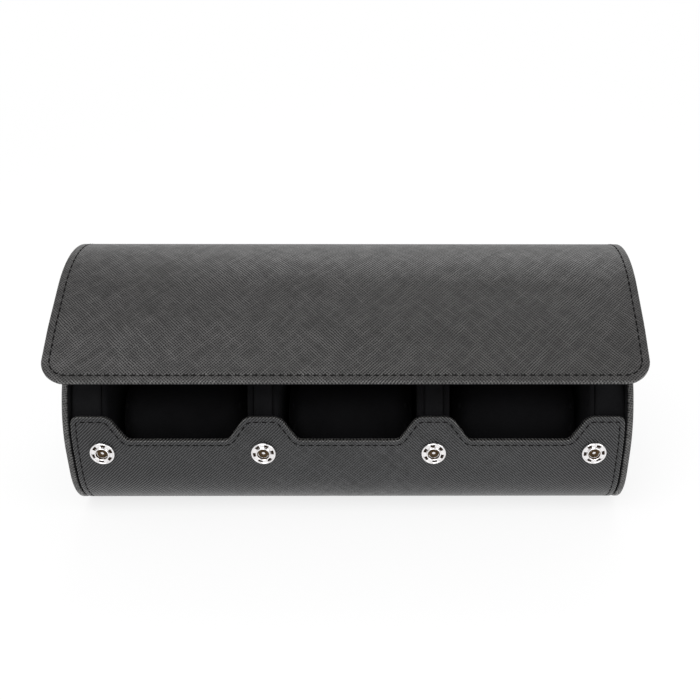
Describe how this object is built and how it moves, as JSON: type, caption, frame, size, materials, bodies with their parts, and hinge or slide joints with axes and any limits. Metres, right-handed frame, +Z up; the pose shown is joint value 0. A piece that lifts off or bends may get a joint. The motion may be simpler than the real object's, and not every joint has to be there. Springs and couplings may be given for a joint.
{
  "type": "watch travel case",
  "caption": "Domed leather watch travel case with notched wells, soft cushions and a stiffened flap that folds from the back and snaps onto the front wall.",
  "frame": {"origin": "middle of the flat face that the case rests on", "axes": "+X along the case, -Y towards the notched front wall, +Z up"},
  "size_m": [0.212, 0.0994, 0.0924],
  "materials": {
    "case_leather": "crosshatched satin grain",
    "end_leather": "crosshatched satin grain",
    "flap_leather": "crosshatched satin grain",
    "board": "matt",
    "lining": "matt",
    "padding": "matt",
    "velvet": "soft pile",
    "cushion_fabric": "soft pile",
    "chrome": "polished",
    "brass": "satin"
  },
  "bodies": {
    "case": {"outer_wrap": "case_leather", "shell_board": "board", "shell_lining": "lining", "hinge_strap": "case_leather", "end_cover_left": "end_leather", "end_cover_right": "end_leather", "end_board_left": "board", "end_board_right": "board", "end_lining_left": "lining", "end_lining_right": "lining", "end_pad_left": "padding", "end_pad_right": "padding", "divider_pad_left": "padding", "divider_pad_right": "padding", "floor_pad": "padding", "well_liner_left": "velvet", "well_liner_middle": "velvet", "well_liner_right": "velvet", "snap_sockets": "chrome", "socket_springs": "brass", "socket_rivets": "brass"},
    "left_cushion": {"cushion_left": "cushion_fabric"},
    "middle_cushion": {"cushion_middle": "cushion_fabric"},
    "right_cushion": {"cushion_right": "cushion_fabric"},
    "flap": {"flap_top_leather": "flap_leather", "flap_top_board": "board", "flap_top_lining": "lining"},
    "flap_front": {"flap_front_leather": "flap_leather", "flap_front_board": "board", "flap_front_lining": "lining", "snap_studs": "chrome", "stud_rivets": "brass"}
  },
  "joints": [
    {"name": "flap_hinge", "type": "hinge", "parent": "case", "child": "flap", "pos_m": [0, 0.0444, 0.031], "axis": [-1, 0, 0], "range_deg": [-22.5, 120]},
    {"name": "flap_bend", "type": "hinge", "parent": "flap", "child": "flap_front", "pos_m": [0, -0.03102, 0.07789], "axis": [-1, 0, 0], "range_deg": [-36, 0], "stiffness_Nm_per_rad": 0.05, "springref_deg": 2.86},
    {"name": "left_cushion_lift", "type": "slide", "parent": "case", "child": "left_cushion", "axis": [0, 0, 1], "range_m": [0, 0.012]},
    {"name": "middle_cushion_lift", "type": "slide", "parent": "case", "child": "middle_cushion", "axis": [0, 0, 1], "range_m": [0, 0.012]},
    {"name": "right_cushion_lift", "type": "slide", "parent": "case", "child": "right_cushion", "axis": [0, 0, 1], "range_m": [0, 0.012]}
  ]
}
